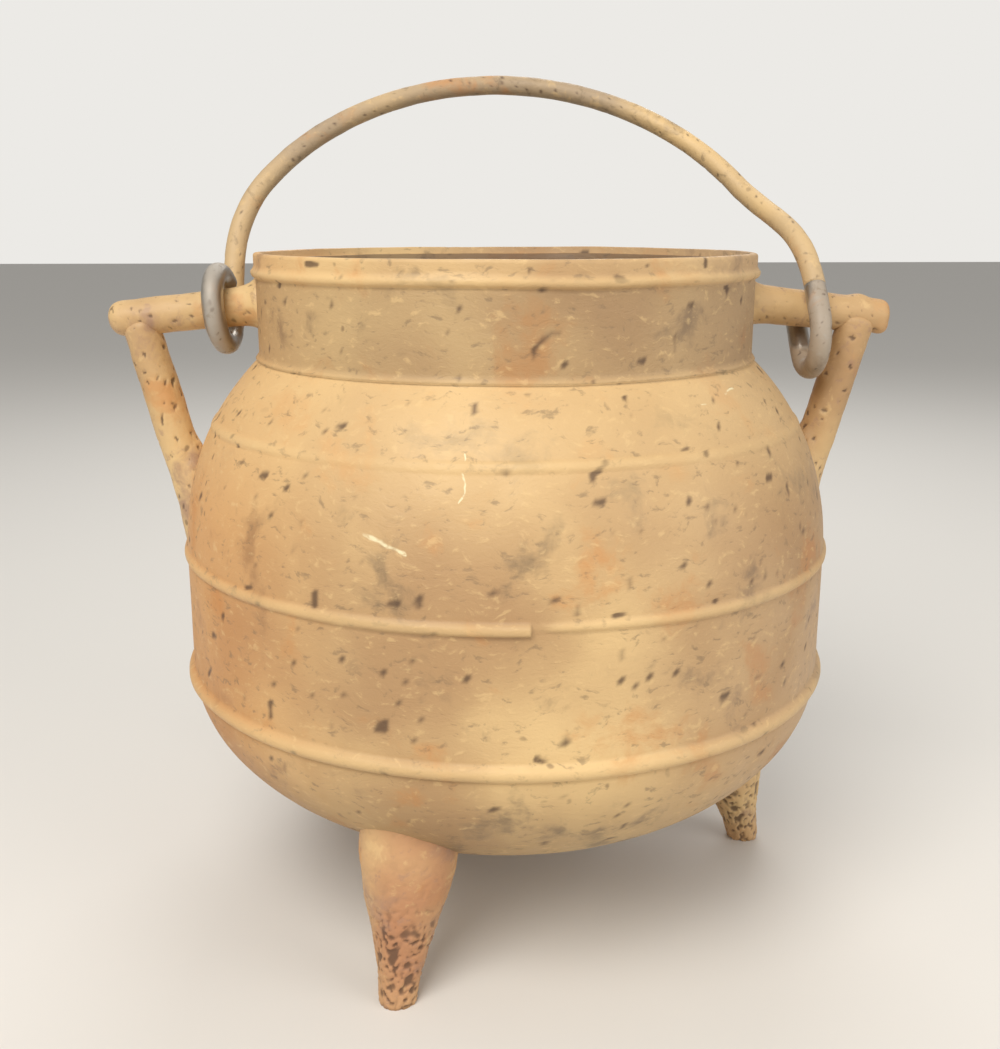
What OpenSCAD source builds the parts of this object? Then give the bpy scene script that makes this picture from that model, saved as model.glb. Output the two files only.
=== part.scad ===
// Three-legged cast iron cauldron with two cranked ears and a forged bail.
// Millimetres. Z = 0 is the floor under the feet and the Z axis is the axis of the pot.
// +X points to the ear with the open hook, +Y is away from the viewer.

/* [Pot] */
// Outer radius of the belly wall between its two main beads
belly_r = 148.9; // [146:0.1:150]
// Outer radius of the straight collar
collar_r = 112.8; // [111:0.1:114]
// Outer radius of the lip band at the top of the collar
rim_r = 113.4; // [113:0.1:115]
// Height of the top of the lip
rim_z = 305.2; // [303:0.1:308]
// Height of the lip band
rim_band_h = 6; // [4:0.5:8]
// Height of the crease where the collar meets the shoulder
crease_z = 259; // [256:0.5:262]
// Height at which the belly wall starts to turn in towards the shoulder
shoulder_z = 170; // [165:1:175]
// Fullness of the shoulder, 2 is an ellipse and more is squarer
shoulder_n = 2.2; // [2:0.05:2.4]
// Height at which the belly wall starts to turn in towards the bottom
bowl_z = 118; // [115:1:121]
// Height of the underside at the middle of the pot
bottom_z = 34; // [30:1:40]
// Wall thickness of the casting
wall = 4.5; // [4:0.5:6]
// Depth of the shallow lid seat inside the lip
lid_seat_h = 3.5; // [2:0.5:5]
// Width of the shallow lid seat inside the lip
lid_seat_w = 2; // [1:0.5:2.5]

/* [Beads] */
// Height of the bead under the lip
rim_bead_z = 296.9; // [296:0.1:298]
// Height of the faint bead on the shoulder
upper_bead_z = 231.5; // [228:0.5:235]
// Height of the bead round the middle of the belly
mid_bead_z = 173.9; // [172:0.1:176]
// Height of the bead where the bottom starts
low_bead_z = 116.6; // [115:0.1:118]
// Outer radius of the bead under the lip
rim_bead_r = 114.8; // [114:0.1:116]
// Outer radius of the middle bead
mid_bead_r = 150.4; // [149.5:0.1:152]
// Outer radius of the low bead
low_bead_r = 151.7; // [150:0.1:153]
// How far the faint upper bead stands out of the shoulder
upper_bead_rise = 0.7; // [0.4:0.1:1.5]

/* [Legs] */
// Radius of the circle on which the three feet stand
foot_circle_r = 129.4; // [126:0.2:132]
// How far each leg leans outwards
leg_splay = 12.8; // [10:0.2:15]
// Diameter of a leg just above its foot
leg_tip_d = 16.5; // [14:0.5:20]
// Diameter of a leg at its root
leg_root_d = 42; // [36:0.5:46]
// Length along the leg from the foot to its full root diameter
leg_taper_l = 70; // [64:1:76]

/* [Ears] */
// Distance of each bar's tip from the pot's axis
bar_reach = 180.5; // [178:0.1:183]
// Height of both bars' axes at the collar
bar_root_z = 282.4; // [281:0.1:284]
// Downward slope of the left bar
left_droop = 5.7; // [4:0.1:7]
// Downward slope of the right bar
right_droop = 5.8; // [4:0.1:7]
// Radius of a bar at the collar
bar_root_r = 8.9; // [8.4:0.1:9.2]
// Radius of a bar near its tip
bar_tip_r = 8; // [7.4:0.1:8.4]
// Radius of the struts where they meet the bars
strut_top_r = 8.2; // [7.5:0.1:9]
// Radius of the struts where they meet the belly
strut_foot_r = 9.2; // [8.5:0.1:10]

/* [Bail] */
// Radius of the bail's arch, measured to the middle of the rod
bail_r = 136.3; // [135.5:0.1:137.5]
// How far the middle of the arch stands off the pot's axis
bail_x = 1.5; // [0.5:0.1:2.5]
// Height of the line on which the bail turns
hinge_z = 280; // [279:0.1:281]
// How far the bail leans back from upright
bail_lean = 39; // [0:1:60]
// Radius of the rod at the top of the arch
rod_r = 4.6; // [4:0.1:5]
// Radius of the rod at the eye and the hook
rod_end_r = 4.9; // [4.5:0.1:5]
// Radius of the eye and of the hook's bend, to the middle of the rod
eye_r = 15.8; // [15.5:0.1:16.5]
// Turn of the eye about the rod
eye_turn = 8; // [0:1:12]
// How far the eye is closed round its bar
eye_arc = 280; // [260:1:282]
// Depth from the hinge line to the middle of the hook's bend
hook_drop = 15.5; // [12:0.5:16]
// How far the hook's tip rises past the hinge line
hook_tip_rise = 7; // [2:0.5:9]

/* [Hidden] */
$fn = 64;

iron = "#8a6038";
leg_iron = "#86503a";
ear_iron = "#97704c";
rod_iron = "#7c6250";

// The shoulder is a superellipse that ends exactly at the crease.
shoulder_h = (crease_z - shoulder_z) / pow(1 - pow(collar_r / belly_r, shoulder_n), 1 / shoulder_n);
bowl_h = bowl_z - bottom_z;
curve_steps = 12;
bore_r = collar_r - wall;
lip_round = 1.2;

// The main beads are half round, so their own radius sets how wide they are.
rim_bead_w = 2.6;
upper_bead_w = 2.2;
mid_bead_w = 2.8;
low_bead_w = 3.4;

right_angle = 6;
rear_angle = 126;
front_angle = 246;
foot_round = 2.4;
leg_buried_l = 18;

bar_buried_l = 6;
flare_l = 9;
flare_r = 11.5;
strut_buried_l = 25;
// Axis of each strut as [distance from the pot's axis, height], at its top and at its foot
left_strut_top = [167.6, 275];
left_strut_foot = [145.6, 190];
right_strut_top = [166.5, 274];
right_strut_foot = [143.3, 194];

// The rod is bent in at its left end and out at its right end,
// and steps behind the left bar and before the right one.
pull_in_left = 7.8;
push_out_right = 3.4;
pull_from = 66;
step_from = 58;
step_to = 82;
left_step = eye_r * cos(eye_turn);
right_step = eye_r;
arch_rings = 44;
rod_sides = 14;
left_end_x = bail_x - bail_r + pull_in_left;
right_end_x = bail_x + bail_r + push_out_right;
// The rod's two cut ends are drawn down to short blunt points.
tip_l = 3;
tip_r = 2.6;
tip_step = 0.2;
// The insides of the eye and the hook are worn to this radius round the hinge line.
worn_r = eye_r - rod_end_r + 0.2;

function smooth(x) = let (c = max(0, min(1, x))) c * c * (3 - 2 * c);

// One quarter of an ellipse from the underside of the bottom out to the wall
function bowl_points(r, h) = [
    for (i = [0 : curve_steps]) let (t = 90 * i / curve_steps) [r * sin(t), bowl_z - h * cos(t)]
];

// The shoulder from the wall in to the radius end_r
function shoulder_points(r, h, end_r) =
    let (last = acos(pow(end_r / r, shoulder_n / 2))) [
        for (i = [0 : curve_steps]) let (t = last * i / curve_steps)
            [r * pow(cos(t), 2 / shoulder_n), shoulder_z + h * pow(sin(t), 2 / shoulder_n)]
    ];

function shoulder_r_at(z) =
    belly_r * pow(1 - pow((z - shoulder_z) / shoulder_h, shoulder_n), 1 / shoulder_n);

// The pot filled solid, which is what the legs and ears are cut to
module outer_form() {
    rotate_extrude() polygon(concat(
        bowl_points(belly_r, bowl_h),
        shoulder_points(belly_r, shoulder_h, collar_r),
        [
            [collar_r, rim_z - rim_band_h],
            [rim_r, rim_z - rim_band_h + (rim_r - collar_r)],
            [rim_r, rim_z - lip_round],
            [rim_r - lip_round, rim_z],
            [0, rim_z]
        ]
    ));
}

module inner_form() {
    rotate_extrude() polygon(concat(
        bowl_points(belly_r - wall, bowl_h - wall),
        shoulder_points(belly_r - wall, shoulder_h - wall, bore_r),
        [
            [bore_r, rim_z - lid_seat_h],
            [bore_r + lid_seat_w, rim_z - lid_seat_h],
            [bore_r + lid_seat_w, rim_z + 1],
            [0, rim_z + 1]
        ]
    ));
}

module bead(outer_r, z, w) {
    rotate_extrude() translate([outer_r - w, z]) circle(r = w);
}

module beads() {
    bead(rim_bead_r, rim_bead_z, rim_bead_w);
    bead(shoulder_r_at(upper_bead_z) + upper_bead_rise, upper_bead_z, upper_bead_w);
    bead(mid_bead_r, mid_bead_z, mid_bead_w);
    bead(low_bead_r, low_bead_z, low_bead_w);
}

module vessel() {
    color(iron) difference() {
        union() {
            outer_form();
            beads();
        }
        inner_form();
    }
}

module cut_to_pot() {
    difference() {
        children();
        outer_form();
        beads();
    }
}

// A leg swells from its foot to its root, and its foot is worn flat on the floor.
module leg(angle) {
    tip_r = leg_tip_d / 2;
    root_r = leg_root_d / 2;
    steps = 12;
    color(leg_iron) cut_to_pot() intersection() {
        rotate([0, 0, angle]) translate([foot_circle_r, 0, 0]) rotate([0, -leg_splay, 0])
            rotate_extrude() polygon(concat(
                [
                    [0, -foot_round],
                    [tip_r - foot_round, -foot_round],
                    [tip_r - foot_round / 3, foot_round / 3],
                    [tip_r, foot_round * 1.5]
                ],
                [
                    for (i = [1 : steps]) let (s = leg_taper_l * i / steps)
                        [tip_r + (root_r - tip_r) * smooth(s / leg_taper_l), s]
                ],
                [[root_r, leg_taper_l + leg_buried_l], [0, leg_taper_l + leg_buried_l]]
            ));
        translate([-200, -200, 0]) cube([400, 400, 150]);
    }
}

module bar_shape(droop, side) {
    start_x = collar_r - bar_buried_l;
    long = (bar_reach - bar_tip_r - start_x) / cos(droop);
    mirror([side < 0 ? 1 : 0, 0, 0]) translate([start_x, 0, bar_root_z]) rotate([0, 90 + droop, 0]) {
        cylinder(h = long, r1 = bar_root_r, r2 = bar_tip_r);
        cylinder(h = bar_buried_l + flare_l, r1 = flare_r + 1, r2 = bar_root_r - 0.4);
        translate([0, 0, long]) sphere(r = bar_tip_r);
    }
}

module ear_bar(droop, side) {
    color(ear_iron) cut_to_pot() bar_shape(droop, side);
}

// A strut runs from under its bar down to the belly, and is cut to both.
module ear_strut(top, foot, droop, side) {
    run = top - foot;
    long = norm(run);
    slant = atan2(run[0], run[1]);
    color(ear_iron) difference() {
        cut_to_pot() mirror([side < 0 ? 1 : 0, 0, 0]) translate([foot[0], 0, foot[1]]) rotate([0, slant, 0])
            translate([0, 0, -strut_buried_l])
                cylinder(h = long + strut_buried_l, r1 = strut_foot_r, r2 = strut_top_r);
        bar_shape(droop, side);
    }
}

// The middle of the rod at angle t from the top of the arch, with the bail upright
function rod_radius_at(t) = rod_r + (rod_end_r - rod_r) * smooth(abs(t) / 90);
function arch_radius_at(t) =
    bail_r + push_out_right * smooth((t - pull_from) / (90 - pull_from))
    - pull_in_left * smooth((-t - pull_from) / (90 - pull_from));
function step_at(t) =
    left_step * smooth((-t - step_from) / (step_to - step_from))
    - right_step * smooth((t - step_from) / (step_to - step_from));
function arch_point(t) = [bail_x + arch_radius_at(t) * sin(t), step_at(t), arch_radius_at(t) * cos(t)];
function arch_way(t) =
    abs(t) == 90 ? [0, 0, -sign(t)] : let (d = arch_point(t + 0.1) - arch_point(t - 0.1)) d / norm(d);
function arch_ring(t) =
    let (way = arch_way(t), u = cross(way, [0, 1, 0]) / norm(cross(way, [0, 1, 0])), v = cross(way, u)) [
        for (k = [0 : rod_sides - 1]) let (a = 360 * k / rod_sides)
            arch_point(t) + rod_radius_at(t) * (u * cos(a) + v * sin(a))
    ];

// Everything in the bail is drawn upright on the hinge line, then leans back.
module hung() {
    translate([0, 0, hinge_z]) rotate([-bail_lean, 0, 0]) children();
}

module bail_arch() {
    rings = [for (i = [0 : arch_rings]) arch_ring(-90 + 180 * i / arch_rings)];
    last = arch_rings * rod_sides;
    sides = [
        for (i = [0 : arch_rings - 1]) for (k = [0 : rod_sides - 1])
            let (n = (k + 1) % rod_sides, a = i * rod_sides, b = a + rod_sides) [a + k, a + n, b + n, b + k]
    ];
    ends = [
        [for (k = [0 : rod_sides - 1]) rod_sides - 1 - k],
        [for (k = [0 : rod_sides - 1]) last + k]
    ];
    color(rod_iron) hung() polyhedron(
        points = [for (r = rings) for (p = r) p],
        faces = concat(sides, ends)
    );
}

module worn_hole(x) {
    translate([x, 0, 0]) rotate([0, 90, 0]) cylinder(h = 60, r = worn_r, center = true);
}

module bend(arc) {
    rotate_extrude(angle = arc) translate([eye_r, 0]) circle(r = rod_end_r);
}

module rod_tip() {
    cylinder(h = tip_l, r1 = rod_end_r - tip_step, r2 = tip_r);
}

// The left end goes down behind its bar, under it and back over the top.
module bail_eye() {
    centre = [left_end_x - eye_r * sin(eye_turn), 0, 0];
    color(rod_iron) hung() difference() {
        translate(centre) rotate([-90, 0, 90 - eye_turn]) {
            bend(180);
            rotate([0, 0, 180]) bend(eye_arc - 180);
            rotate([0, 0, eye_arc]) translate([eye_r, 0, 0]) rotate([-90, 0, 0]) rod_tip();
        }
        worn_hole(centre[0]);
    }
}

// The right end goes down before its bar, turns under it and comes up behind it.
module bail_hook() {
    start = [right_end_x, -right_step, 0];
    centre = start + [0, eye_r, -hook_drop];
    tip = centre + [0, eye_r, 0];
    rise = hook_drop + hook_tip_rise;
    color(rod_iron) hung() difference() {
        union() {
            translate(start - [0, 0, hook_drop]) cylinder(h = hook_drop, r = rod_end_r);
            translate(centre) rotate([-90, 0, -90]) bend(180);
            translate(tip) cylinder(h = rise, r = rod_end_r);
            translate(tip + [0, 0, rise]) rod_tip();
        }
        worn_hole(centre[0]);
    }
}

vessel();
leg(right_angle);  // leg_right
leg(rear_angle);  // leg_rear
leg(front_angle);  // leg_front
ear_bar(left_droop, -1);  // ear_bar_left
ear_bar(right_droop, 1);  // ear_bar_right
ear_strut(left_strut_top, left_strut_foot, left_droop, -1);  // ear_strut_left
ear_strut(right_strut_top, right_strut_foot, right_droop, 1);  // ear_strut_right
bail_arch();
bail_eye();
bail_hook();
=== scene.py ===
"""A cast iron cauldron with a forged bail, built round its fixed frame."""

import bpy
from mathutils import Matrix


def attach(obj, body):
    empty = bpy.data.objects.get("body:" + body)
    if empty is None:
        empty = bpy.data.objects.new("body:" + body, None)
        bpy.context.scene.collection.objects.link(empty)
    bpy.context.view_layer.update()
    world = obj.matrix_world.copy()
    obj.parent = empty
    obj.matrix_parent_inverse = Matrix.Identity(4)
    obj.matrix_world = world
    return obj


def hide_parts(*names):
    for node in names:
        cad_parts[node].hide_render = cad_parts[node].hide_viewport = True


bl_info = {
    "name": "Cast Iron Cauldron",
    "version": (1, 0, 0),
    "blender": (4, 5, 0),
    "location": "View3D > Sidebar > Cauldron",
    "description": "Makes a three-legged cast iron cauldron and its forged bail",
    "category": "Add Mesh",
}

import math

import bmesh
import bpy
from bpy.props import FloatProperty, FloatVectorProperty, IntProperty, PointerProperty, StringProperty
from mathutils import Matrix, Vector, noise

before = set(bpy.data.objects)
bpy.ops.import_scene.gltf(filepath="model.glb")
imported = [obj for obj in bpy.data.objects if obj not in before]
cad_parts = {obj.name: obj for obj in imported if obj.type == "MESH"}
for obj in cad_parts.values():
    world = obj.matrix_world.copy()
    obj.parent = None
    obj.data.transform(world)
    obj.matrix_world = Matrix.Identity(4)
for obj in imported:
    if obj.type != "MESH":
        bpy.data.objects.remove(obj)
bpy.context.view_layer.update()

MM = 0.001


def length(name, description, millimetres):
    """A size that a user may change, in metres, with its default given in millimetres."""
    return FloatProperty(
        name=name,
        description=description,
        default=millimetres * MM,
        min=0.0,
        precision=4,
        subtype="DISTANCE",
        unit="LENGTH",
    )


def colour(name, description, default):
    """A colour that a user may change, as an sRGB hex value."""
    return StringProperty(name=name, description=description, default=default, maxlen=7)


class PotSizes(bpy.types.PropertyGroup):
    """Sizes of the pot's wall and of the beads round it."""

    belly_radius: length("Belly radius", "Outer radius of the wall between the two main beads", 148.9)
    collar_radius: length("Collar radius", "Outer radius of the straight collar", 112.8)
    lip_radius: length("Lip radius", "Outer radius of the plain band above the lip's bead", 113.4)
    lip_height: length("Lip height", "Height of the top of the lip", 305.2)
    crease_height: length("Crease height", "Height at which the collar meets the shoulder", 259.0)
    shoulder_height: length("Shoulder height", "Height at which the wall turns in to the shoulder", 170.0)
    bowl_height: length("Bowl height", "Height at which the wall turns in to the bottom", 118.0)
    underside_height: length("Underside height", "Height of the underside at the middle", 34.0)
    wall: length("Wall", "Thickness of the casting", 4.5)
    seat_depth: length("Lid seat depth", "Depth of the lid seat inside the lip", 3.5)
    seat_width: length("Lid seat width", "Width of the lid seat inside the lip", 2.0)
    shoulder_fullness: FloatProperty(
        name="Shoulder fullness",
        description="2 makes the shoulder an ellipse and more makes it squarer",
        default=2.2,
        min=1.8,
        max=3.0,
    )
    segments: IntProperty(
        name="Segments",
        description="Faces round the pot",
        default=320,
        min=64,
        max=360,
    )


class LegSizes(bpy.types.PropertyGroup):
    """Sizes of the three legs."""

    foot_circle: length("Foot circle", "Radius of the circle on which the feet stand", 129.4)
    tip_radius: length("Tip radius", "Radius of a leg just above its foot", 8.25)
    root_radius: length("Root radius", "Radius of a leg where it meets the pot", 21.0)
    taper: length("Taper", "Length from the foot to the full root radius", 70.0)
    splay: FloatProperty(
        name="Splay",
        description="How far each leg leans outwards",
        default=math.radians(12.8),
        subtype="ANGLE",
        unit="ROTATION",
    )
    pit_depth: length("Pit depth", "Depth of the rust pits near the foot", 0.9)


class EarSizes(bpy.types.PropertyGroup):
    """Sizes of the two cranked ears."""

    reach: length("Reach", "Distance of each bar's tip from the pot's axis", 180.5)
    root_height: length("Root height", "Height of the bars' axes inside the collar", 282.4)
    root_radius: length("Bar root radius", "Radius of a bar by the collar", 8.9)
    tip_radius: length("Bar tip radius", "Radius of a bar near its tip", 8.0)
    strut_top_radius: length("Strut top radius", "Radius of a strut under its bar", 8.2)
    strut_foot_radius: length("Strut foot radius", "Radius of a strut at the belly", 9.2)


class BailSizes(bpy.types.PropertyGroup):
    """Sizes of the forged bail."""

    radius: length("Arch radius", "Radius of the arch to the middle of the rod", 136.3)
    offset: length("Offset", "How far the arch's middle stands off the pot's axis", 1.5)
    hinge_height: length("Hinge height", "Height of the line on which the bail turns", 280.0)
    rod: length("Rod radius", "Radius of the rod at the top of the arch", 4.6)
    rod_end: length("Rod end radius", "Radius of the rod at the eye and the hook", 4.9)
    eye: length("Eye radius", "Radius of the eye and the hook to the middle of the rod", 15.8)
    worn: length("Worn radius", "Radius to which the eye and the hook are worn inside", 11.1)
    lean: FloatProperty(
        name="Lean",
        description="How far the bail leans back from upright",
        default=math.radians(39.0),
        subtype="ANGLE",
        unit="ROTATION",
    )
    sides: IntProperty(name="Sides", description="Faces round the rod", default=28, min=8, max=48)


class IronColours(bpy.types.PropertyGroup):
    """Colours of the rusted iron."""

    brown: colour("Rust brown", "The colour most of the pot has", "#b08c62")
    # Also used for the painted highlight on the shoulder and on the beads' crests.
    tan: colour("Pale rust", "Dry pale rust on the shoulder and the crests", "#dcbb85")
    # Also used for a painted orange bounce light on the pot's left side.
    orange: colour("Fresh rust", "Orange rust in patches and on the left side", "#c68547")
    # Also used for the painted shade towards the pot's bottom and for the darker collar band.
    umber: colour("Dark rust", "Dark patches where the iron shows through", "#75624a")
    plum: colour("Purple rust", "Greyish purple rust on the right side", "#9d7b68")
    pit: colour("Pit", "The bottom of a rust pit", "#4a3426")
    chalk: colour("Chalk", "Pale scratches and limescale", "#e9ddb4")
    leg: colour("Leg rust", "Pinkish rust on the legs", "#b57f5a")
    steel: colour("Worn metal", "Bare metal rubbed bright", "#a8a196")
    rod: colour("Rod", "Grey-brown rust on the forged rod", "#a08c74")


class StageSettings(bpy.types.PropertyGroup):
    """Camera, lamps and floor."""

    lens: FloatProperty(name="Lens", description="Focal length", default=41.52, unit="CAMERA")
    place: FloatVectorProperty(
        name="Camera place",
        description="Where the camera stands",
        default=(-0.0353, -0.5665, 0.3191),
        subtype="XYZ",
        unit="LENGTH",
    )
    turn: FloatVectorProperty(
        name="Camera turn",
        description="How the camera is turned",
        default=(math.radians(75.89), 0.0, math.radians(-3.32)),
        subtype="EULER",
        unit="ROTATION",
    )
    floor: colour("Floor", "Colour of the floor", "#dedbd5")


def linear(text):
    """Turns an sRGB hex colour to the linear RGBA that Blender uses."""
    channels = [int(text[i : i + 2], 16) / 255 for i in (1, 3, 5)]
    return [c / 12.92 if c <= 0.04045 else ((c + 0.055) / 1.055) ** 2.4 for c in channels] + [1.0]


def smooth(x):
    """Eases from 0 to 1."""
    x = min(max(x, 0.0), 1.0)
    return x * x * (3.0 - 2.0 * x)


def wander(point, size, seed=0.0):
    """Smooth noise from about -1 to 1 whose bumps are size metres across."""
    return noise.noise(point / size + Vector((seed, -seed, 0.37 * seed)))


def shoulder_rise(pot):
    """Height of the shoulder's curve if it ran on to the axis."""
    n = pot.shoulder_fullness
    return (pot.crease_height - pot.shoulder_height) / (
        1 - (pot.collar_radius / pot.belly_radius) ** n
    ) ** (1 / n)


def wall_radius(pot, z):
    """Outer radius of the plain wall at height z."""
    if z < pot.bowl_height:
        part = (pot.bowl_height - z) / (pot.bowl_height - pot.underside_height)
        return pot.belly_radius * math.sqrt(max(0.0, 1 - part * part))
    if z < pot.shoulder_height:
        return pot.belly_radius
    if z < pot.crease_height:
        n = pot.shoulder_fullness
        part = (z - pot.shoulder_height) / shoulder_rise(pot)
        return pot.belly_radius * (1 - part**n) ** (1 / n)
    return pot.collar_radius


def keep_in_wall(pot, point, depth=2.0 * MM):
    """Moves a point that lies deeper in the pot than depth back out into the wall."""
    if point.z < pot.bowl_height:
        centre = Vector((0, 0, pot.bowl_height))
        out = point - centre
        rise = pot.bowl_height - pot.underside_height
        part = math.sqrt((out.x**2 + out.y**2) / pot.belly_radius**2 + (out.z / rise) ** 2)
        limit = 1 - depth / max(out.length / max(part, 1e-6), 1e-6)
        return centre + out * (limit / part) if 1e-6 < part < limit else point
    limit = wall_radius(pot, point.z) - depth
    radius = math.hypot(point.x, point.y)
    if 1e-6 < radius < limit:
        return Vector((point.x * limit / radius, point.y * limit / radius, point.z))
    return point


def resample(points, step_at):
    """Walks along a line of points and keeps one every step_at(point) metres."""
    kept = [points[0]]
    walked = 0.0
    for before, after in zip(points, points[1:]):
        walked += math.dist(before, after)
        if walked >= step_at(after):
            kept.append(after)
            walked = 0.0
    if kept[-1] != points[-1]:
        kept.append(points[-1])
    return kept


BEADS = [
    # height, rise, half width, all in metres
    (296.9 * MM, 2.0 * MM, 2.6 * MM),
    (231.5 * MM, 0.7 * MM, 2.2 * MM),
    (173.9 * MM, 1.5 * MM, 2.6 * MM),
    (116.6 * MM, 2.7 * MM, 3.4 * MM),
]
MIDDLE_BEAD = 2


def seam_distance(turn, radius):
    """Distance round the wall from the front mould seam, negative to its left."""
    return ((turn + math.pi / 2 + math.pi) % (2 * math.pi) - math.pi) * radius


def bead_rise(turn, z, radius):
    """How far the beads lift the wall, and how strongly each place on a bead's crest is painted paler as a
    painted highlight, from 0 to 1.
    """
    ring = Vector((math.cos(turn), math.sin(turn), 0.0))
    rise = 0.0
    crest_highlight = 0.0
    for number, (height, high, half) in enumerate(BEADS):
        if abs(z - height) > 3 * half:
            continue
        centre = height + 0.35 * MM * wander(ring, 0.45, 3.1 * number)
        high = high * (1 + 0.12 * wander(ring, 0.3, 7.7 + number))
        along = seam_distance(turn, radius)
        power = 0.62
        if number == MIDDLE_BEAD:
            if along < 0.0001:
                near = smooth((along + 0.055) / 0.055)
                high *= 1 + 0.45 * near
                centre -= 0.15 * MM
                power = 0.62 - 0.3 * near
            else:
                high *= 0.12 + 0.75 * smooth((along - 0.003) / 0.009) + 0.13 * smooth(along / 0.1)
                half *= 0.72 + 0.28 * smooth(along / 0.1)
                centre += 0.6 * MM * (1 - smooth(along / 0.1))
        if number == 1:
            high *= 0.5 + 0.9 * smooth(0.6 + wander(ring, 0.5, 2.0))
        part = (z - centre) / half
        if abs(part) < 1:
            lift = (1 - part * part) ** (power if part < 0 else 0.7)
            rise += high * lift
            crest_highlight = max(crest_highlight, lift * min(1.0, high / MM))
        elif part < 0 and part > -1.5:
            rise -= 0.12 * high * smooth((1.5 + part) / 0.25) * smooth((-1 - part) / 0.2 + 0.4)
    return rise, crest_highlight


def pot_profile(pot):
    """The wall's section from under the bottom, up the outside, over the lip and down the inside."""
    steps = 1600
    outside = []
    top = pot.lip_height
    for i in range(steps + 1):
        turn = math.pi / 2 * i / steps
        low = pot.bowl_height - (pot.bowl_height - pot.underside_height) * math.cos(turn)
        outside.append((pot.belly_radius * math.sin(turn), low))
    for i in range(1, steps + 1):
        z = pot.bowl_height + (pot.crease_height - pot.bowl_height) * i / steps
        outside.append((wall_radius(pot, z), z))
    # The crease is a small soft corner, and the lip's band stands a little proud of the collar.
    for i in range(1, 601):
        z = pot.crease_height + (top - 1.3 * MM - pot.crease_height) * i / 600
        fillet = 1.6 * MM * (1 - smooth((z - pot.crease_height) / (2.6 * MM)))
        band = (pot.lip_radius - pot.collar_radius) * smooth((z - (top - 6.6 * MM)) / (0.8 * MM))
        outside.append((pot.collar_radius + fillet + band, z))
    for i in range(1, 41):
        turn = math.pi / 2 * i / 40
        round_radius = 1.3 * MM
        centre = pot.lip_radius - round_radius
        outside.append((centre + round_radius * math.cos(turn), top - round_radius * (1 - math.sin(turn))))
    bore = pot.collar_radius - pot.wall
    seat = top - pot.seat_depth
    outside.append((bore + pot.seat_width + 0.4 * MM, top))
    outside.append((bore + pot.seat_width, top - 0.4 * MM))
    outside.append((bore + pot.seat_width, seat + 0.2 * MM))
    outside.append((bore + pot.seat_width - 0.2 * MM, seat))
    outside.append((bore + 0.4 * MM, seat))
    lip_end = len(outside)
    inside = [(bore, seat - 0.4 * MM)]
    rise = shoulder_rise(pot) - pot.wall
    n = pot.shoulder_fullness
    belly = pot.belly_radius - pot.wall
    meet = pot.shoulder_height + rise * (1 - (bore / belly) ** n) ** (1 / n)
    for i in range(1, 301):
        inside.append((bore, seat + (meet - seat) * i / 300))
    for i in range(1, 801):
        z = meet + (pot.shoulder_height - meet) * i / 800
        inside.append((belly * (1 - ((z - pot.shoulder_height) / rise) ** n) ** (1 / n), z))
    for i in range(1, 301):
        inside.append((belly, pot.shoulder_height + (pot.bowl_height - pot.shoulder_height) * i / 300))
    deep = pot.bowl_height - pot.underside_height - pot.wall
    for i in range(1, 801):
        turn = math.pi / 2 * i / 800
        inside.append((belly * math.cos(turn), pot.bowl_height - deep * math.sin(turn)))
    inside[-1] = (0.0, pot.bowl_height - deep)

    def outer_step(place):
        z = place[1]
        if any(abs(z - bead[0]) < 2 * bead[2] for bead in BEADS) and place[0] > 100 * MM:
            return 0.75 * MM
        if z > top - 9 * MM:
            return 0.55 * MM
        return 1.2 * MM if abs(z - pot.crease_height) < 5 * MM else 2.9 * MM

    # The five corner points of the lid seat are all kept.
    seat_start = lip_end - 5
    outer = resample(outside[:seat_start], outer_step) + outside[seat_start:]
    return outer, resample(inside, lambda place: 5.6 * MM)


def stamp(mesh, name, values):
    """Keeps one number for each point of the mesh, for a material to read."""
    attribute = mesh.attributes.new(name, "FLOAT", "POINT")
    attribute.data.foreach_set("value", values)


def settle(name, bm, body, nodes, material, marks):
    """Turns a finished bmesh into a piece that stands for its CAD nodes."""
    mesh = bpy.data.meshes.new(name)
    bm.to_mesh(mesh)
    bm.free()
    for mark, values in marks.items():
        stamp(mesh, mark, values)
    mesh.shade_smooth()
    mesh.materials.append(material)
    piece = bpy.data.objects.new(name, mesh)
    bpy.context.scene.collection.objects.link(piece)
    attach(piece, body)
    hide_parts(*nodes)
    return piece


def turned(points, segments):
    """Spins a section line round Z into a closed skin and returns its bmesh."""
    bm = bmesh.new()
    verts = [bm.verts.new((radius, 0.0, z)) for radius, z in points]
    edges = [bm.edges.new(pair) for pair in zip(verts, verts[1:])]
    bmesh.ops.spin(
        bm,
        geom=verts + edges,
        cent=(0, 0, 0),
        axis=(0, 0, 1),
        angle=2 * math.pi,
        steps=segments,
        use_merge=True,
    )
    bmesh.ops.remove_doubles(bm, verts=bm.verts[:], dist=0.02 * MM)
    bmesh.ops.recalc_face_normals(bm, faces=bm.faces[:])
    return bm


def add(tree, kind, values=None, **settings):
    """Adds a node, sets it, and fills its sockets with numbers, colours or other nodes' sockets."""
    node = tree.nodes.new(kind)
    for key, value in settings.items():
        setattr(node, key, value)
    for key, value in (values or {}).items():
        if isinstance(value, bpy.types.NodeSocket):
            tree.links.new(value, node.inputs[key])
        else:
            node.inputs[key].default_value = value
    return node


def blend_colours(tree, amount, below, above, mode="MIX"):
    """Lays one colour over another by amount."""
    mix = add(tree, "ShaderNodeMix", data_type="RGBA", blend_type=mode)
    for index, value in ((0, amount), (6, below), (7, above)):
        if isinstance(value, bpy.types.NodeSocket):
            tree.links.new(value, mix.inputs[index])
        else:
            mix.inputs[index].default_value = value
    return mix.outputs[2]


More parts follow.
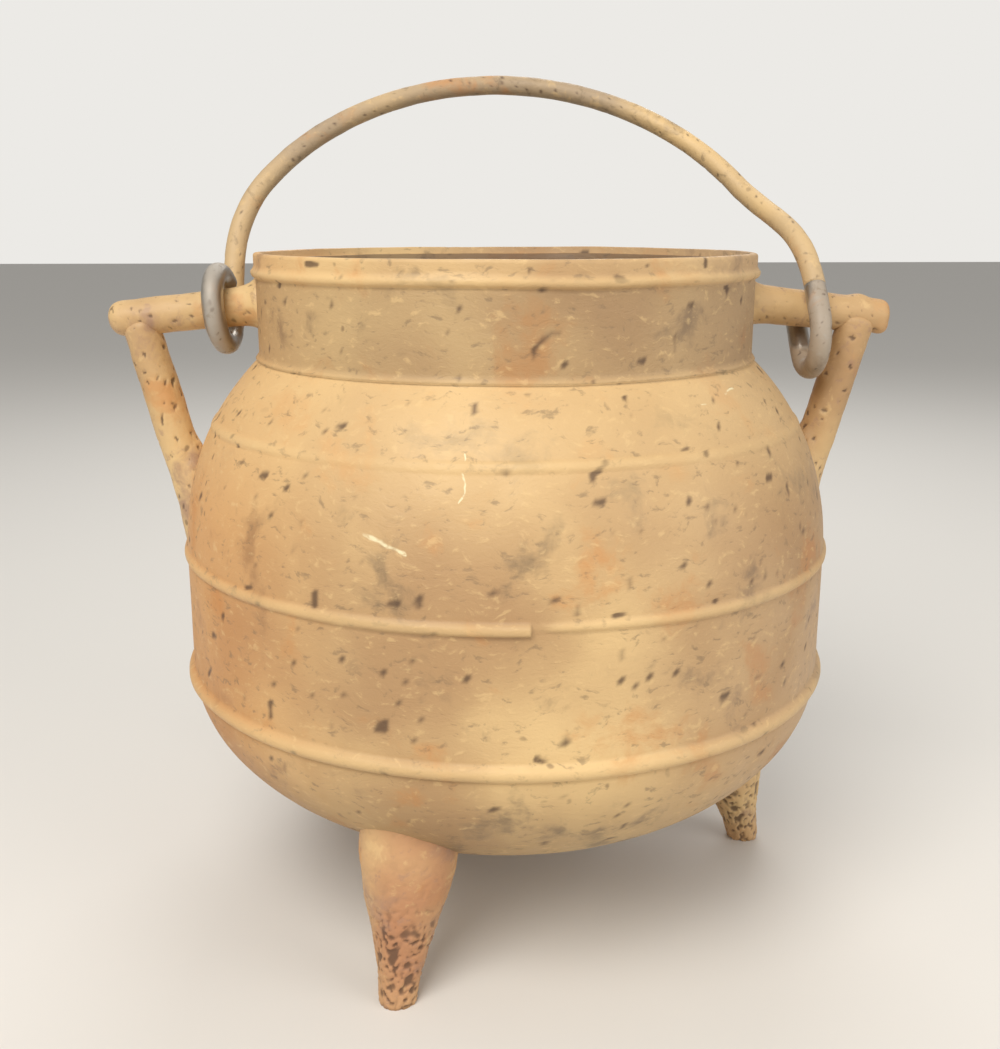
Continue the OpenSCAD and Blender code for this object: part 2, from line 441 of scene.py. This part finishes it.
def grade(tree, value, low, high, to_low=0.0, to_high=1.0):
    """Maps a value from low..high to to_low..to_high with soft ends."""
    return add(
        tree,
        "ShaderNodeMapRange",
        {"Value": value, 1: low, 2: high, 3: to_low, 4: to_high},
        interpolation_type="SMOOTHSTEP",
    ).outputs[0]


def times(tree, a, b, operation="MULTIPLY"):
    """Combines two values."""
    return add(tree, "ShaderNodeMath", {0: a, 1: b}, operation=operation).outputs[0]


def grain(tree, place, millimetres, detail=4.0, rough=0.55):
    """Noise whose blotches are about so many millimetres across."""
    return add(
        tree,
        "ShaderNodeTexNoise",
        {"Vector": place, "Scale": 1000.0 / millimetres / 2.0, "Detail": detail, "Roughness": rough},
    ).outputs["Fac"]


def scratch(tree, place, start, end, width):
    """How near a place is to a thin scratch between two points, from 0 to 1."""
    a = Vector(start) * MM
    way = Vector(end) * MM - a
    apart = add(tree, "ShaderNodeVectorMath", {0: place, 1: a}, operation="SUBTRACT").outputs[0]
    dot = add(tree, "ShaderNodeVectorMath", {0: apart, 1: way}, operation="DOT_PRODUCT").outputs["Value"]
    share = add(
        tree, "ShaderNodeMath", {0: dot, 1: way.length_squared}, operation="DIVIDE", use_clamp=True
    ).outputs[0]
    reached = add(tree, "ShaderNodeVectorMath", {0: way, "Scale": share}, operation="SCALE").outputs[0]
    gap = add(tree, "ShaderNodeVectorMath", {0: apart, 1: reached}, operation="DISTANCE").outputs["Value"]
    return grade(tree, gap, 0.3 * width * MM, width * MM, 1.0, 0.0)


# Pale scratches on the front of the pot: start, end and half width in millimetres
POT_SCRATCHES = [
    ((40.0, -122.0, 240.0), (63.0, -104.0, 247.0), 1.0),
    ((63.0, -104.0, 247.0), (90.0, -80.0, 251.0), 0.7),
    ((36.0, -139.0, 217.0), (34.0, -145.0, 198.0), 0.9),
    ((34.0, -145.0, 198.0), (38.0, -145.0, 191.0), 1.2),
    ((-62.0, -131.0, 208.0), (-44.0, -140.0, 202.0), 1.2),
    ((-24.0, -130.0, 236.0), (-25.0, -137.0, 219.0), 0.7),
]


def rusted_iron(name, hues, spot_hue, kind):
    """Rusted iron: a matt mottled oxide skin over metal, with its colour in blotches, flecks and pits; on
    the pot also painted highlights on the shoulder and the beads' crests, painted shade towards the bottom,
    a painted orange bounce on the left and a darker collar band.
    """
    look = bpy.context.scene.iron_colours
    material = bpy.data.materials.new(name)
    material.use_nodes = True
    tree = material.node_tree
    tree.nodes.clear()
    raw = add(tree, "ShaderNodeTexCoord").outputs["Object"]
    axes = add(tree, "ShaderNodeSeparateXYZ", {0: raw}).outputs
    warp = add(
        tree, "ShaderNodeTexNoise", {"Vector": raw, "Scale": 60.0, "Detail": 3.0}
    ).outputs["Color"]
    shift = add(tree, "ShaderNodeVectorMath", {0: warp, 1: (0.5, 0.5, 0.5)}, operation="SUBTRACT").outputs[0]
    moved = add(tree, "ShaderNodeVectorMath", {0: shift, "Scale": 0.012}, operation="SCALE").outputs[0]
    place = add(tree, "ShaderNodeVectorMath", {0: raw, 1: moved}, operation="ADD").outputs[0]
    stretch = (1.0, 1.0, 2.2) if kind == "pot" else (1.0, 1.0, 1.0)
    drawn = add(tree, "ShaderNodeMapping", {"Vector": place, "Scale": stretch}).outputs[0]

    clouds = grain(tree, place, 75, 3.0)
    blotches = grain(tree, place, 16, 5.0, 0.6)
    flecks = grain(tree, drawn, 3.4, 5.0, 0.62)
    sand = grain(tree, drawn, 1.1, 3.0, 0.6)

    main, pale, fresh, dark = [linear(h) for h in hues]
    tone = blend_colours(tree, grade(tree, clouds, 0.36, 0.62), main, pale)
    tone = blend_colours(tree, grade(tree, blotches, 0.55, 0.72, 0.0, 0.55), tone, fresh)
    tone = blend_colours(tree, grade(tree, blotches, 0.44, 0.28, 0.0, 0.75), tone, dark)
    if kind == "pot":
        # Partly orange rust and partly a painted orange bounce light: the pot's left side is painted more
        # orange.
        left = grade(tree, axes[0], -0.06, -0.14, 0.0, 0.62)
        tone = blend_colours(tree, left, tone, linear(look.orange))
        right = times(tree, grade(tree, axes[0], 0.02, 0.12, 0.0, 0.5), grade(tree, clouds, 0.3, 0.6))
        tone = blend_colours(tree, right, tone, linear(look.plum))
        # Painted highlight: the shoulder is painted paler, towards the pale tan, where light from above
        # falls on it.
        shoulder_highlight = times(tree, grade(tree, axes[2], 0.19, 0.245), grade(tree, axes[2], 0.262, 0.257))
        tone = blend_colours(tree, times(tree, shoulder_highlight, 0.5), tone, linear(look.tan))
        # The collar band is painted darker, towards the umber colour.
        collar_darkening = times(tree, grade(tree, axes[2], 0.258, 0.262), grade(tree, axes[2], 0.297, 0.292))
        tone = blend_colours(tree, times(tree, collar_darkening, 0.34), tone, linear(look.umber))
        # Painted shade: the pot is painted darker towards the bottom, as if lit only from above.
        low = grade(tree, axes[2], 0.115, 0.06, 0.0, 0.35)
        tone = blend_colours(tree, low, tone, linear(look.umber))
    tone = blend_colours(tree, grade(tree, flecks, 0.56, 0.7, 0.0, 0.45), tone, pale)
    tone = blend_colours(tree, grade(tree, flecks, 0.43, 0.3, 0.0, 0.5), tone, dark)
    spots = add(
        tree,
        "ShaderNodeTexVoronoi",
        {"Vector": place, "Scale": 95.0, "Randomness": 1.0},
    ).outputs["Distance"]
    spotted = times(tree, grade(tree, spots, 0.16, 0.06), grade(tree, clouds, 0.5, 0.6))
    tone = blend_colours(tree, times(tree, spotted, 0.55), tone, linear(spot_hue))
    pits = add(tree, "ShaderNodeAttribute", attribute_name="pit").outputs["Fac"]
    tone = blend_colours(tree, grade(tree, pits, 0.1, 0.9, 0.0, 0.8), tone, linear(look.pit))
    # Painted highlight: the beads' crests are painted paler, as if lit from above.
    crest_highlight = add(tree, "ShaderNodeAttribute", attribute_name="crest_highlight").outputs["Fac"]
    tone = blend_colours(tree, times(tree, crest_highlight, 0.5), tone, pale)
    inside = add(tree, "ShaderNodeAttribute", attribute_name="inside").outputs["Fac"]
    tone = blend_colours(tree, times(tree, inside, 0.62), tone, linear(look.pit))

    shine = grade(tree, blotches, 0.3, 0.7, 0.5, 0.68)
    metal = 0.0
    if kind == "worn":
        worn = add(tree, "ShaderNodeAttribute", attribute_name="worn").outputs["Fac"]
        rubbed = grade(tree, times(tree, worn, times(tree, blotches, 1.6)), 0.2, 0.62)
        tone = blend_colours(tree, rubbed, tone, linear(look.steel))
        shine = add(
            tree, "ShaderNodeMapRange", {"Value": rubbed, 1: 0.0, 2: 1.0, 3: 0.55, 4: 0.3}
        ).outputs[0]
        metal = times(tree, rubbed, 0.85)
    if kind == "pot":
        marks = None
        for start, end, width in POT_SCRATCHES:
            mark = scratch(tree, place, start, end, width)
            marks = mark if marks is None else times(tree, marks, mark, "MAXIMUM")
        chalky = times(tree, marks, grade(tree, sand, 0.3, 0.55, 0.35, 0.9))
        tone = blend_colours(tree, chalky, tone, linear(look.chalk))

    rough_skin = times(tree, times(tree, flecks, 0.7), times(tree, sand, 0.3), "ADD")
    bump = add(
        tree,
        "ShaderNodeBump",
        {"Strength": 1.0 if kind != "worn" else 0.5, "Distance": 0.00045, "Height": rough_skin},
    )
    shader = add(
        tree,
        "ShaderNodeBsdfPrincipled",
        {"Base Color": tone, "Roughness": shine, "Metallic": metal, "Normal": bump.outputs[0]},
    )
    add(tree, "ShaderNodeOutputMaterial", {"Surface": shader.outputs[0]})
    return material


class CAULDRON_OT_pot(bpy.types.Operator):
    """Make the hollow pot with its beads, lip and mould seam"""

    bl_idname = "cauldron.pot"
    bl_label = "Pot"

    def execute(self, context):
        pot = context.scene.pot_sizes
        look = context.scene.iron_colours
        outer, inner = pot_profile(pot)
        bm = turned(outer + inner, pot.segments)
        bm.normal_update()
        lip = pot.lip_height - pot.seat_depth
        seam_reach = math.radians(6.0)
        pits = []
        crest_highlights = []
        insides = []
        moves = []
        for vert in bm.verts:
            point = vert.co.copy()
            radius = math.hypot(point.x, point.y)
            turn = math.atan2(point.y, point.x)
            # The rings near the mould seam are drawn together, so that the bead can end sharply there.
            for seam in (-math.pi / 2, math.pi / 2):
                off = turn - seam
                if abs(off) < seam_reach:
                    turn = seam + off * abs(off) / seam_reach
            point = Vector((radius * math.cos(turn), radius * math.sin(turn), point.z))
            is_inside = radius < wall_radius(pot, point.z) - 0.6 * pot.wall and point.z < lip + 0.5 * MM
            move = 0.22 * MM * wander(point, 0.06, 1.0) + 0.1 * MM * wander(point, 0.017, 2.0)
            crest_highlight = 0.0
            pit = 0.0
            if is_inside:
                move += 0.2 * MM * wander(point, 0.012, 4.0)
            else:
                if radius > 95 * MM:
                    rise, crest_highlight = bead_rise(turn, point.z, radius)
                    move += rise
                pit = smooth((-wander(point, 0.0052, 9.0) - 0.42) / 0.3)
                move -= 0.3 * MM * pit
            drop = 0.0
            if point.z > pot.crease_height - 8 * MM:
                ring = Vector((math.cos(turn), math.sin(turn), 0.0))
                high = smooth((point.z - pot.crease_height + 8 * MM) / (8 * MM))
                drop = 0.3 * MM * wander(ring, 0.35, 5.0) * high
            moves.append((vert, point, move, drop))
            pits.append(pit)
            crest_highlights.append(crest_highlight)
            insides.append(1.0 if is_inside else 0.0)
        for vert, point, move, drop in moves:
            vert.co = point + vert.normal * move + Vector((0, 0, drop))
        # Grey iron poured in sand and left to rust: matt, mottled and grainy, with no gloss, and with
        # painted highlights and painted shade in its colour.
        material = rusted_iron(
            "as_cast_grey_iron_rusted",
            [look.brown, look.tan, look.orange, look.umber],
            look.pit,
            "pot",
        )
        settle(
            "pot_shell",
            bm,
            "pot",
            ["vessel"],
            material,
            {"pit": pits, "crest_highlight": crest_highlights, "inside": insides},
        )
        return {"FINISHED"}


class CAULDRON_OT_legs(bpy.types.Operator):
    """Make the three splayed legs with their rust pits"""

    bl_idname = "cauldron.legs"
    bl_label = "Legs"

    def execute(self, context):
        pot = context.scene.pot_sizes
        leg = context.scene.leg_sizes
        look = context.scene.iron_colours
        # Grey iron that stood in ash and damp: pinkish rust with dark holes eaten into it.
        material = rusted_iron(
            "pitted_grey_iron_rusted",
            [look.leg, look.tan, look.orange, look.plum],
            look.pit,
            "leg",
        )
        for name, angle in (("leg_right", 6.0), ("leg_rear", 126.0), ("leg_front", 246.0)):
            self.make_leg(name, math.radians(angle), pot, leg, material)
        return {"FINISHED"}

    def make_leg(self, name, angle, pot, leg, material):
        start = -2.4 * MM
        rows = [(0.0, start)]
        rows += [((leg.tip_radius - 1.6 * MM) * k / 6, start) for k in range(1, 7)]
        rows.append((leg.tip_radius - 0.9 * MM, start + 0.8 * MM))
        rows.append((leg.tip_radius - 0.3 * MM, start + 2.4 * MM))
        end = 84 * MM
        count = 104
        for k in range(1, count + 1):
            along = start + 3.2 * MM + (end - start - 3.2 * MM) * k / count
            swell = (leg.root_radius - leg.tip_radius) * smooth(along / leg.taper)
            rows.append((leg.tip_radius + swell, along))
        rows += [(leg.root_radius * (1 - k / 12), end) for k in range(1, 13)]
        bm = turned(rows, 128)
        place = (
            Matrix.Rotation(angle, 4, "Z")
            @ Matrix.Translation((leg.foot_circle, 0, 0))
            @ Matrix.Rotation(-leg.splay, 4, "Y")
        )
        bmesh.ops.transform(bm, matrix=place, verts=bm.verts[:])
        bm.normal_update()
        back = place.inverted()
        pits = []
        moves = []
        for vert in bm.verts:
            point = vert.co.copy()
            along = (back @ point).z
            rough = 0.3 + 0.7 * smooth((52 * MM - along) / (26 * MM))
            hollow = smooth((-wander(point, 0.0021, 11.0) - 0.02) / 0.5)
            hollow = max(hollow, smooth((-wander(point, 0.0042, 14.0) - 0.1) / 0.45))
            lump = wander(point, 0.012, 6.0)
            move = 0.5 * MM * lump - leg.pit_depth * rough * hollow + 0.15 * MM * wander(point, 0.0012, 3.0)
            moves.append((vert, point + vert.normal * move))
            pits.append(min(1.0, hollow * rough * 0.8))
        for vert, point in moves:
            point.z = max(point.z, 0.0)
            vert.co = keep_in_wall(pot, point)
        settle(name + "_casting", bm, "pot", [name], material, {"pit": pits})


def lay_along(bm, start, end):
    """Moves a shape made along Z from the origin so that it runs from start towards end."""
    way = Vector(end) - Vector(start)
    turn = Vector((0, 0, 1)).rotation_difference(way).to_matrix().to_4x4()
    bmesh.ops.transform(bm, matrix=Matrix.Translation(start) @ turn, verts=bm.verts[:])


class CAULDRON_OT_ears(bpy.types.Operator):
    """Make the bars and struts of the two cranked ears"""

    bl_idname = "cauldron.ears"
    bl_label = "Ears"

    def execute(self, context):
        pot = context.scene.pot_sizes
        ear = context.scene.ear_sizes
        look = context.scene.iron_colours
        # Grey iron that hands have held: the same rust as the pot, rounder and with fewer pits.
        material = rusted_iron(
            "cast_ear_iron_handled",
            [look.brown, look.tan, look.orange, look.plum],
            look.pit,
            "ear",
        )
        self.make_bar("ear_bar_left", -1, math.radians(5.7), 0.0, pot, ear, material)
        self.make_bar("ear_bar_right", 1, math.radians(5.8), 1.0, pot, ear, material)
        left = (Vector((-167.6, -0.9, 276.5)) * MM, Vector((-138.6, 0.0, 163.0)) * MM)
        right = (Vector((166.5, -1.6, 277.5)) * MM, Vector((135.0, 0.0, 165.0)) * MM)
        self.make_strut("ear_strut_left", left, pot, ear, material)
        self.make_strut("ear_strut_right", right, pot, ear, material)
        return {"FINISHED"}

    def make_bar(self, name, side, droop, blunt, pot, ear, material):
        start = pot.collar_radius - 6 * MM
        run = (ear.reach - start) / math.cos(droop)
        dome = ear.tip_radius * (0.55 if blunt else 0.85)
        rows = [(0.0, 0.0), (ear.root_radius * 0.6, 0.0)]
        count = 76
        for k in range(count + 1):
            along = (run - dome) * k / count
            out = max(0.0, along - 6 * MM)
            radius = ear.root_radius + (ear.tip_radius - ear.root_radius) * along / run
            radius += 3.4 * MM * math.exp(-out / (3.2 * MM))
            rows.append((radius, along))
        for k in range(1, 15):
            turn = math.pi / 2 * k / 14
            radius = ear.tip_radius * math.cos(turn) ** (0.6 if blunt else 0.85)
            rows.append((radius, run - dome + dome * math.sin(turn)))
        rows[-1] = (0.0, run)
        bm = turned(rows, 80)
        end = Vector((side * ear.reach, 0, ear.root_height - (ear.reach - start) * math.tan(droop)))
        lay_along(bm, Vector((side * start, 0, ear.root_height)), end)
        bm.normal_update()
        pits = []
        moves = []
        bump_place = Vector((side * 166.0, -2.0, 286.0)) * MM
        for vert in bm.verts:
            point = vert.co.copy()
            pit = smooth((-wander(point, 0.0026, 21.0) - 0.34) / 0.3)
            move = 0.42 * MM * wander(point, 0.014, 12.0) + 0.16 * MM * wander(point, 0.005, 13.0)
            move -= 0.35 * MM * pit
            if blunt:
                near = (point - bump_place).length
                move += 1.5 * MM * smooth(1 - near / (7 * MM))
                low = (point - Vector((176.0, -4.0, 270.0)) * MM).length
                move += 1.2 * MM * smooth(1 - low / (6 * MM))
            worn = abs(abs(point.x) - (129 if side < 0 else 141) * MM) < 9 * MM
            moves.append((vert, point + vert.normal * (move * (0.35 if worn else 1.0))))
            pits.append(pit * 0.7)
        for vert, point in moves:
            point.x = min(max(point.x, -ear.reach - 0.3 * MM), ear.reach + 0.3 * MM)
            vert.co = keep_in_wall(pot, point)
        settle(name + "_casting", bm, "pot", [name], material, {"pit": pits})

    def make_strut(self, name, ends, pot, ear, material):
        top, foot = ends
        run = (top - foot).length
        rows = []
        for k in range(13):
            turn = math.pi / 2 * k / 12
            radius = ear.strut_foot_radius * math.sin(turn)
            rows.append((radius, ear.strut_foot_radius * (1 - math.cos(turn))))
        count = 100
        dome = ear.strut_top_radius * 0.6
        for k in range(1, count + 1):
            along = ear.strut_foot_radius + (run - ear.strut_foot_radius - dome) * k / count
            radius = ear.strut_foot_radius + (ear.strut_top_radius - ear.strut_foot_radius) * along / run
            rows.append((radius, along))
        for k in range(1, 13):
            turn = math.pi / 2 * k / 12
            radius = ear.strut_top_radius * math.cos(turn)
            rows.append((radius, run - dome * (1 - math.sin(turn))))
        rows[0] = (0.0, 0.0)
        rows[-1] = (0.0, run)
        bm = turned(rows, 80)
        lay_along(bm, foot, top)
        bm.normal_update()
        pits = []
        moves = []
        for vert in bm.verts:
            point = vert.co.copy()
            pit = smooth((-wander(point, 0.0028, 31.0) - 0.3) / 0.3)
            move = 0.4 * MM * wander(point, 0.013, 22.0) + 0.18 * MM * wander(point, 0.0045, 23.0)
            move -= 0.6 * MM * pit
            # A flare where the strut grows out of the belly
            gap = math.hypot(point.x, point.y) - wall_radius(pot, point.z)
            move += 1.6 * MM * smooth(1 - abs(gap) / (7 * MM))
            moves.append((vert, point + vert.normal * move))
            pits.append(pit * 0.8)
        for vert, point in moves:
            vert.co = keep_in_wall(pot, point)
        settle(name + "_casting", bm, "pot", [name], material, {"pit": pits})


def arch_point(bail, turn):
    """The middle of the rod at an angle in degrees from the top of the arch, with the bail upright."""
    sine = math.sin(math.radians(turn))
    cosine = math.cos(math.radians(turn))
    radius = bail.radius + 3.4 * MM * smooth((turn - 66) / 24) - 7.8 * MM * smooth((-turn - 66) / 24)
    to_eye = bail.eye * math.cos(math.radians(8)) * smooth((-turn - 58) / 24)
    to_hook = bail.eye * smooth((turn - 58) / 24)
    step = to_eye - to_hook
    return Vector((bail.offset + radius * sine, step, radius * cosine))


def arch_line(bail):
    """Points along the arch from its left end to its right end."""
    count = 230
    line = []
    for k in range(count + 1):
        turn = -90 + 180 * k / count
        point = arch_point(bail, turn)
        line.append((point, bail.rod + (bail.rod_end - bail.rod) * smooth(abs(turn) / 90)))
    return line


def eye_line(bail):
    """Points along the eye, from the rod's end down behind the bar, under it and over its top."""
    turned_by = math.radians(8)
    across = Vector((math.sin(turned_by), math.cos(turned_by), 0))
    centre = arch_point(bail, -90) - bail.eye * across
    line = []
    count = 84
    for k in range(count + 1):
        turn = math.radians(280) * k / count
        point = centre + bail.eye * (math.cos(turn) * across - math.sin(turn) * Vector((0, 0, 1)))
        line.append((point, bail.rod_end))
    way = (line[-1][0] - line[-2][0]).normalized()
    last = line[-1][0]
    for along, part in ((0.8, 0.95), (1.6, 0.84), (2.3, 0.7), (2.8, 0.52)):
        line.append((last + way * along * MM, bail.rod_end * part))
    return line


def hook_line(bail):
    """Points along the hook, from the rod's end down before the bar, under it and up behind it."""
    start = arch_point(bail, 90)
    drop = 15.5 * MM
    centre = start + Vector((0, bail.eye, -drop))
    line = [(start - Vector((0, 0, drop * k / 12)), bail.rod_end) for k in range(13)]
    for k in range(1, 57):
        turn = math.pi * k / 56
        point = centre + bail.eye * Vector((0, -math.cos(turn), -math.sin(turn)))
        line.append((point, bail.rod_end))
    last = line[-1][0]
    rise = drop + 7 * MM
    line += [(last + Vector((0, 0, rise * k / 18)), bail.rod_end) for k in range(1, 19)]
    last = line[-1][0]
    for along, part in ((0.8, 0.94), (1.6, 0.84), (2.3, 0.7), (2.8, 0.52)):
        line.append((last + Vector((0, 0, along * MM)), bail.rod_end * part))
    return line


def swept(line, sides, first_way=None, last_way=None):
    """Draws a round rod along a line of points with radii and returns its bmesh."""
    bm = bmesh.new()
    ways = []
    for k in range(len(line)):
        before = line[max(k - 1, 0)][0]
        after = line[min(k + 1, len(line) - 1)][0]
        ways.append((after - before).normalized())
    ways[0] = first_way or ways[0]
    ways[-1] = last_way or ways[-1]
    made = bmesh.ops.create_circle(bm, cap_ends=False, segments=sides, radius=1.0)
    ring = made["verts"]
    facing = Vector((0, 0, 1)).rotation_difference(ways[0])
    point, radius = line[0]
    matrix = Matrix.LocRotScale(point, facing, (radius, radius, radius))
    bmesh.ops.transform(bm, matrix=matrix, verts=ring)
    edges = bm.edges[:]
    for k in range(1, len(line)):
        grown = bmesh.ops.extrude_edge_only(bm, edges=edges)["geom"]
        ring = [g for g in grown if isinstance(g, bmesh.types.BMVert)]
        edges = [g for g in grown if isinstance(g, bmesh.types.BMEdge)]
        facing = ways[k - 1].rotation_difference(ways[k]) @ facing
        point, radius = line[k]
        following = Matrix.LocRotScale(point, facing, (radius, radius, radius))
        bmesh.ops.transform(bm, matrix=following @ matrix.inverted(), verts=ring)
        matrix = following
    bmesh.ops.holes_fill(bm, edges=[e for e in bm.edges if e.is_boundary], sides=0)
    bmesh.ops.recalc_face_normals(bm, faces=bm.faces[:])
    return bm


class CAULDRON_OT_bail(bpy.types.Operator):
    """Make the forged bail: its arch, its eye and its open hook"""

    bl_idname = "cauldron.bail"
    bl_label = "Bail"

    def execute(self, context):
        bail = context.scene.bail_sizes
        look = context.scene.iron_colours
        # Wrought rod drawn out by hammer: grey-brown rust over a slightly uneven round.
        rod = rusted_iron(
            "forged_wrought_rod_rusted",
            [look.rod, look.tan, look.orange, look.umber],
            look.pit,
            "rod",
        )
        # The same rod where it turns on the ears: rubbed to bare metal, which catches the light.
        worn = rusted_iron(
            "forged_wrought_rod_worn",
            [look.rod, look.steel, look.orange, look.umber],
            look.pit,
            "worn",
        )
        down = Vector((0, 0, -1))
        arch = arch_line(bail)
        eye = eye_line(bail)
        hook = hook_line(bail)
        self.make_rod("bail_arch", arch, -down, down, bail, rod, "rod_iron")
        self.make_rod("bail_eye", eye, down, None, bail, worn, "worn_iron")
        self.make_rod("bail_hook", hook, down, None, bail, worn, "worn_iron")
        return {"FINISHED"}

    def make_rod(self, name, line, first_way, last_way, bail, material, slot):
        bm = swept(line, bail.sides, first_way, last_way)
        bm.normal_update()
        pits = []
        worn = []
        moves = []
        for vert in bm.verts:
            point = vert.co.copy()
            pit = smooth((-wander(point, 0.0024, 41.0) - 0.36) / 0.3)
            move = 0.16 * MM * wander(point, 0.011, 42.0) + 0.07 * MM * wander(point, 0.003, 43.0)
            if name == "bail_arch":
                ends = smooth((point.z - 1.0 * MM) / (6 * MM))
                move = (move - 0.25 * MM * pit) * ends
            else:
                ends = smooth(-point.z / (3 * MM)) if point.z < 0 and abs(point.y) > 8 * MM else 1.0
                near_root = abs(point.z) < 3 * MM
                move = 0.0 if near_root else (move - 0.1 * MM * pit) * ends
            point = point + vert.normal * move
            away = math.hypot(point.y, point.z)
            rub = 0.0
            if name != "bail_arch":
                if away < bail.worn:
                    rub = 1.0
                    scale = bail.worn / max(away, 1e-6)
                    point = Vector((point.x, point.y * scale, point.z * scale))
                rub = max(rub, smooth((24 * MM - away) / (9 * MM)))
            moves.append((vert, point))
            pits.append(pit * 0.8)
            worn.append(rub)
        hang = Matrix.Translation((0, 0, bail.hinge_height)) @ Matrix.Rotation(-bail.lean, 4, "X")
        for vert, point in moves:
            vert.co = hang @ point
        settle(name + "_rod", bm, "bail", [name], material, {"pit": pits, "worn": worn})


class CAULDRON_OT_stage(bpy.types.Operator):
    """Make the floor, the lamps and the camera"""

    bl_idname = "cauldron.stage"
    bl_label = "Stage"

    def execute(self, context):
        stage = context.scene.stage_settings
        scene = context.scene
        bm = bmesh.new()
        bmesh.ops.create_grid(bm, x_segments=1, y_segments=1, size=9.0)
        mesh = bpy.data.meshes.new("floor")
        bm.to_mesh(mesh)
        bm.free()
        floor = bpy.data.objects.new("floor", mesh)
        scene.collection.objects.link(floor)
        paper = bpy.data.materials.new("pale_studio_paper")
        paper.use_nodes = True
        tree = paper.node_tree
        tree.nodes.clear()
        skin = add(
            tree, "ShaderNodeBsdfPrincipled", {"Base Color": linear(stage.floor), "Roughness": 0.85}
        )
        add(tree, "ShaderNodeOutputMaterial", {"Surface": skin.outputs[0]})
        mesh.materials.append(paper)

        self.lamp("key", (-0.55, -1.1, 1.45), 1.1, 27.0, (1.0, 0.97, 0.93))
        self.lamp("fill", (1.2, -0.9, 0.8), 1.0, 7.0, (1.0, 0.98, 0.96))
        self.lamp("back", (0.2, 1.2, 1.3), 0.9, 8.0, (1.0, 1.0, 1.0))

        world = scene.world or bpy.data.worlds.new("studio")
        scene.world = world
        world.use_nodes = True
        tree = world.node_tree
        tree.nodes.clear()
        seen = add(tree, "ShaderNodeLightPath").outputs["Is Camera Ray"]
        soft = add(tree, "ShaderNodeBackground", {"Color": (1.0, 0.985, 0.965, 1.0), "Strength": 0.42})
        shown = add(tree, "ShaderNodeBackground", {"Color": linear("#eceae6"), "Strength": 1.0})
        both = add(
            tree, "ShaderNodeMixShader", {0: seen, 1: soft.outputs[0], 2: shown.outputs[0]}
        )
        add(tree, "ShaderNodeOutputWorld", {"Surface": both.outputs[0]})

        camera = bpy.data.objects.new("camera", bpy.data.cameras.new("camera"))
        camera.data.lens = stage.lens
        camera.data.sensor_width = 36.0
        camera.data.clip_start = 0.01
        camera.location = stage.place
        camera.rotation_euler = stage.turn
        scene.collection.objects.link(camera)
        scene.camera = camera
        scene.view_settings.view_transform = "Standard"
        return {"FINISHED"}

    def lamp(self, name, place, size, power, tint):
        light = bpy.data.lights.new(name, "AREA")
        light.size = size
        light.energy = power
        light.color = tint
        lamp = bpy.data.objects.new(name, light)
        lamp.location = place
        aim = Vector((0, 0, 0.17)) - Vector(place)
        lamp.rotation_euler = aim.to_track_quat("-Z", "Y").to_euler()
        bpy.context.scene.collection.objects.link(lamp)


class CAULDRON_PT_panel(bpy.types.Panel):
    """The cauldron's sizes, colours and steps"""

    bl_idname = "CAULDRON_PT_panel"
    bl_label = "Cauldron"
    bl_space_type = "VIEW_3D"
    bl_region_type = "UI"
    bl_category = "Cauldron"

    def draw(self, context):
        for title, group, steps in PANEL_ROWS:
            box = self.layout.box()
            box.label(text=title)
            settings = getattr(context.scene, group)
            for key in settings.bl_rna.properties.keys():
                if key not in ("rna_type", "name"):
                    box.prop(settings, key)
            for step in steps:
                box.operator(step)


PANEL_ROWS = [
    ("Pot", "pot_sizes", ["cauldron.pot"]),
    ("Legs", "leg_sizes", ["cauldron.legs"]),
    ("Ears", "ear_sizes", ["cauldron.ears"]),
    ("Bail", "bail_sizes", ["cauldron.bail"]),
    ("Colours", "iron_colours", []),
    ("Stage", "stage_settings", ["cauldron.stage"]),
]

GROUPS = [
    ("pot_sizes", PotSizes),
    ("leg_sizes", LegSizes),
    ("ear_sizes", EarSizes),
    ("bail_sizes", BailSizes),
    ("iron_colours", IronColours),
    ("stage_settings", StageSettings),
]

CLASSES = [
    CAULDRON_OT_pot,
    CAULDRON_OT_legs,
    CAULDRON_OT_ears,
    CAULDRON_OT_bail,
    CAULDRON_OT_stage,
    CAULDRON_PT_panel,
]


def register():
    for name, group in GROUPS:
        bpy.utils.register_class(group)
        setattr(bpy.types.Scene, name, PointerProperty(type=group))
    for item in CLASSES:
        bpy.utils.register_class(item)


def unregister():
    for item in reversed(CLASSES):
        bpy.utils.unregister_class(item)
    for name, group in reversed(GROUPS):
        delattr(bpy.types.Scene, name)
        bpy.utils.unregister_class(group)


def main():
    register()
    bpy.ops.cauldron.stage()
    bpy.ops.cauldron.pot()
    bpy.ops.cauldron.legs()
    bpy.ops.cauldron.ears()
    bpy.ops.cauldron.bail()
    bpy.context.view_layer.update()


if __name__ == "__main__":
    main()
